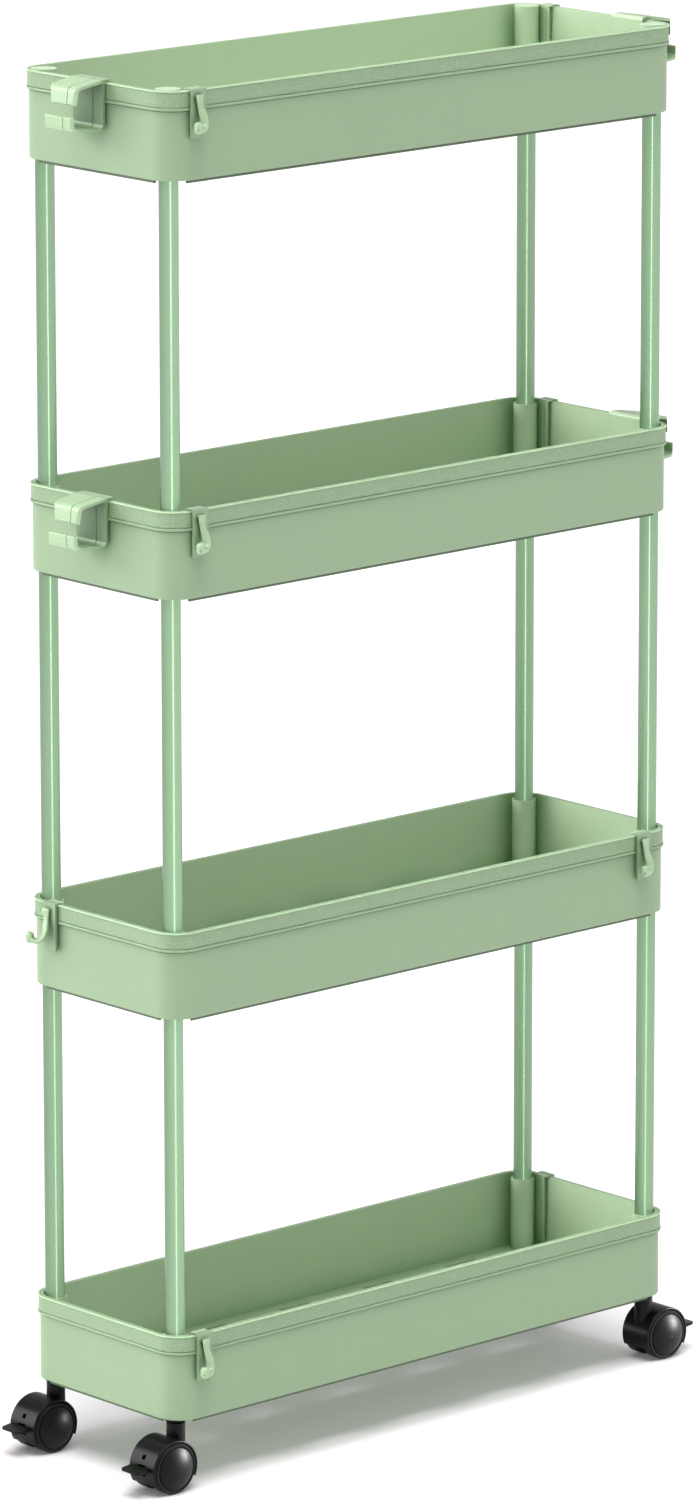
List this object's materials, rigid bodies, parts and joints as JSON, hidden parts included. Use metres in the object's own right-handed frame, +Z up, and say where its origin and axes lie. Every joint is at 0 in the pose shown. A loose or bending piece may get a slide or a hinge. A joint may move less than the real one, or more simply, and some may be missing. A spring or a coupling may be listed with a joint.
{
  "type": "rolling utility cart",
  "caption": "Slim rolling utility cart with stacked rectangular trays on corner poles, clip-on rim handles and hooks, and twin-wheel swivel casters.",
  "frame": {"origin": "on the floor, under the middle of the whole object, hooks and handles included", "axes": "+X along the trays' long side to the right, +Y from the hooked front to the plain back, +Z up"},
  "size_m": [0.471, 0.1554, 0.8567],
  "materials": {
    "tray_plastic": "satin moulded polypropylene with a finely woven relief on the rim band",
    "pole_paint": "satin powder coat",
    "clip_plastic": "smooth moulded plastic with a light sheen",
    "caster_plastic": "glossy black nylon",
    "wheel_plastic": "satin black nylon",
    "axle_steel": "bright drawn wire"
  },
  "bodies": {
    "root": {"tray_bottom": "tray_plastic", "tray_lower": "tray_plastic", "tray_upper": "tray_plastic", "tray_top": "tray_plastic", "pole_lower_front_left": "pole_paint", "pole_lower_front_right": "pole_paint", "pole_lower_back_left": "pole_paint", "pole_lower_back_right": "pole_paint", "pole_middle_front_left": "pole_paint", "pole_middle_front_right": "pole_paint", "pole_middle_back_left": "pole_paint", "pole_middle_back_right": "pole_paint", "pole_upper_front_left": "pole_paint", "pole_upper_front_right": "pole_paint", "pole_upper_back_left": "pole_paint", "pole_upper_back_right": "pole_paint", "caster_stem_front_left": "caster_plastic", "caster_stem_front_right": "caster_plastic", "caster_stem_back_left": "caster_plastic", "caster_stem_back_right": "caster_plastic"},
    "handle_top_left": {"handle_top_left": "clip_plastic"},
    "handle_top_right": {"handle_top_right": "clip_plastic"},
    "handle_upper_left": {"handle_upper_left": "clip_plastic"},
    "handle_upper_right": {"handle_upper_right": "clip_plastic"},
    "hook_top_front": {"hook_top_front": "clip_plastic"},
    "hook_top_right": {"hook_top_right": "clip_plastic"},
    "hook_upper_front": {"hook_upper_front": "clip_plastic"},
    "hook_upper_right": {"hook_upper_right": "clip_plastic"},
    "hook_lower_front": {"hook_lower_front": "clip_plastic"},
    "hook_lower_left": {"hook_lower_left": "clip_plastic"},
    "hook_bottom_front": {"hook_bottom_front": "clip_plastic"},
    "hook_bottom_right": {"hook_bottom_right": "clip_plastic"},
    "caster_front_left": {"caster_hood_front_left": "caster_plastic", "caster_axle_front_left": "axle_steel"},
    "wheel_a_front_left": {"caster_wheel_a_front_left": "wheel_plastic"},
    "wheel_b_front_left": {"caster_wheel_b_front_left": "wheel_plastic"},
    "brake_pedal_front_left": {"brake_pedal_front_left": "caster_plastic"},
    "caster_front_right": {"caster_hood_front_right": "caster_plastic", "caster_axle_front_right": "axle_steel"},
    "wheel_a_front_right": {"caster_wheel_a_front_right": "wheel_plastic"},
    "wheel_b_front_right": {"caster_wheel_b_front_right": "wheel_plastic"},
    "brake_pedal_front_right": {"brake_pedal_front_right": "caster_plastic"},
    "caster_back_left": {"caster_hood_back_left": "caster_plastic", "caster_axle_back_left": "axle_steel"},
    "wheel_a_back_left": {"caster_wheel_a_back_left": "wheel_plastic"},
    "wheel_b_back_left": {"caster_wheel_b_back_left": "wheel_plastic"},
    "brake_pedal_back_left": {"brake_pedal_back_left": "caster_plastic"},
    "caster_back_right": {"caster_hood_back_right": "caster_plastic", "caster_axle_back_right": "axle_steel"},
    "wheel_a_back_right": {"caster_wheel_a_back_right": "wheel_plastic"},
    "wheel_b_back_right": {"caster_wheel_b_back_right": "wheel_plastic"},
    "brake_pedal_back_right": {"brake_pedal_back_right": "caster_plastic"}
  },
  "joints": [
    {"name": "handle_top_left_lift", "type": "slide", "parent": "root", "child": "handle_top_left", "axis": [0, 0, 1], "range_m": [0, 0.05]},
    {"name": "handle_top_right_lift", "type": "slide", "parent": "root", "child": "handle_top_right", "axis": [0, 0, 1], "range_m": [0, 0.05]},
    {"name": "handle_upper_left_lift", "type": "slide", "parent": "root", "child": "handle_upper_left", "axis": [0, 0, 1], "range_m": [0, 0.05]},
    {"name": "handle_upper_right_lift", "type": "slide", "parent": "root", "child": "handle_upper_right", "axis": [0, 0, 1], "range_m": [0, 0.05]},
    {"name": "hook_top_front_lift", "type": "slide", "parent": "root", "child": "hook_top_front", "axis": [0, 0, 1], "range_m": [0, 0.06]},
    {"name": "hook_top_right_lift", "type": "slide", "parent": "root", "child": "hook_top_right", "axis": [0, 0, 1], "range_m": [0, 0.06]},
    {"name": "hook_upper_front_lift", "type": "slide", "parent": "root", "child": "hook_upper_front", "axis": [0, 0, 1], "range_m": [0, 0.06]},
    {"name": "hook_upper_right_lift", "type": "slide", "parent": "root", "child": "hook_upper_right", "axis": [0, 0, 1], "range_m": [0, 0.06]},
    {"name": "hook_lower_front_lift", "type": "slide", "parent": "root", "child": "hook_lower_front", "axis": [0, 0, 1], "range_m": [0, 0.06]},
    {"name": "hook_lower_left_lift", "type": "slide", "parent": "root", "child": "hook_lower_left", "axis": [0, 0, 1], "range_m": [0, 0.06]},
    {"name": "hook_bottom_front_lift", "type": "slide", "parent": "root", "child": "hook_bottom_front", "axis": [0, 0, 1], "range_m": [0, 0.06]},
    {"name": "hook_bottom_right_lift", "type": "slide", "parent": "root", "child": "hook_bottom_right", "axis": [0, 0, 1], "range_m": [0, 0.06]},
    {"name": "caster_front_left_swivel", "type": "hinge", "parent": "root", "child": "caster_front_left", "pos_m": [-0.1972, -0.05065, 0.035], "axis": [0, 0, 1], "continuous": true},
    {"name": "wheel_a_front_left_spin", "type": "hinge", "parent": "caster_front_left", "child": "wheel_a_front_left", "pos_m": [-0.2072, -0.05865, 0.0158], "axis": [0, 1, 0], "continuous": true},
    {"name": "wheel_b_front_left_spin", "type": "hinge", "parent": "caster_front_left", "child": "wheel_b_front_left", "pos_m": [-0.2072, -0.04265, 0.0158], "axis": [0, 1, 0], "continuous": true},
    {"name": "brake_front_left_press", "type": "hinge", "parent": "caster_front_left", "child": "brake_pedal_front_left", "pos_m": [-0.2192, -0.05065, 0.0173], "axis": [0, -1, 0], "range_deg": [0, 10]},
    {"name": "caster_front_right_swivel", "type": "hinge", "parent": "root", "child": "caster_front_right", "pos_m": [0.1972, -0.05065, 0.035], "axis": [0, 0, 1], "continuous": true},
    {"name": "wheel_a_front_right_spin", "type": "hinge", "parent": "caster_front_right", "child": "wheel_a_front_right", "pos_m": [0.2072, -0.05865, 0.0158], "axis": [0, 1, 0], "continuous": true},
    {"name": "wheel_b_front_right_spin", "type": "hinge", "parent": "caster_front_right", "child": "wheel_b_front_right", "pos_m": [0.2072, -0.04265, 0.0158], "axis": [0, 1, 0], "continuous": true},
    {"name": "brake_front_right_press", "type": "hinge", "parent": "caster_front_right", "child": "brake_pedal_front_right", "pos_m": [0.2192, -0.05065, 0.0173], "axis": [0, 1, 0], "range_deg": [0, 10]},
    {"name": "caster_back_left_swivel", "type": "hinge", "parent": "root", "child": "caster_back_left", "pos_m": [-0.1972, 0.06155, 0.035], "axis": [0, 0, 1], "continuous": true},
    {"name": "wheel_a_back_left_spin", "type": "hinge", "parent": "caster_back_left", "child": "wheel_a_back_left", "pos_m": [-0.2072, 0.05355, 0.0158], "axis": [0, 1, 0], "continuous": true},
    {"name": "wheel_b_back_left_spin", "type": "hinge", "parent": "caster_back_left", "child": "wheel_b_back_left", "pos_m": [-0.2072, 0.06955, 0.0158], "axis": [0, 1, 0], "continuous": true},
    {"name": "brake_back_left_press", "type": "hinge", "parent": "caster_back_left", "child": "brake_pedal_back_left", "pos_m": [-0.2192, 0.06155, 0.0173], "axis": [0, -1, 0], "range_deg": [0, 10]},
    {"name": "caster_back_right_swivel", "type": "hinge", "parent": "root", "child": "caster_back_right", "pos_m": [0.1972, 0.06155, 0.035], "axis": [0, 0, 1], "continuous": true},
    {"name": "wheel_a_back_right_spin", "type": "hinge", "parent": "caster_back_right", "child": "wheel_a_back_right", "pos_m": [0.2072, 0.05355, 0.0158], "axis": [0, 1, 0], "continuous": true},
    {"name": "wheel_b_back_right_spin", "type": "hinge", "parent": "caster_back_right", "child": "wheel_b_back_right", "pos_m": [0.2072, 0.06955, 0.0158], "axis": [0, 1, 0], "continuous": true},
    {"name": "brake_back_right_press", "type": "hinge", "parent": "caster_back_right", "child": "brake_pedal_back_right", "pos_m": [0.2192, 0.06155, 0.0173], "axis": [0, 1, 0], "range_deg": [0, 10]}
  ]
}
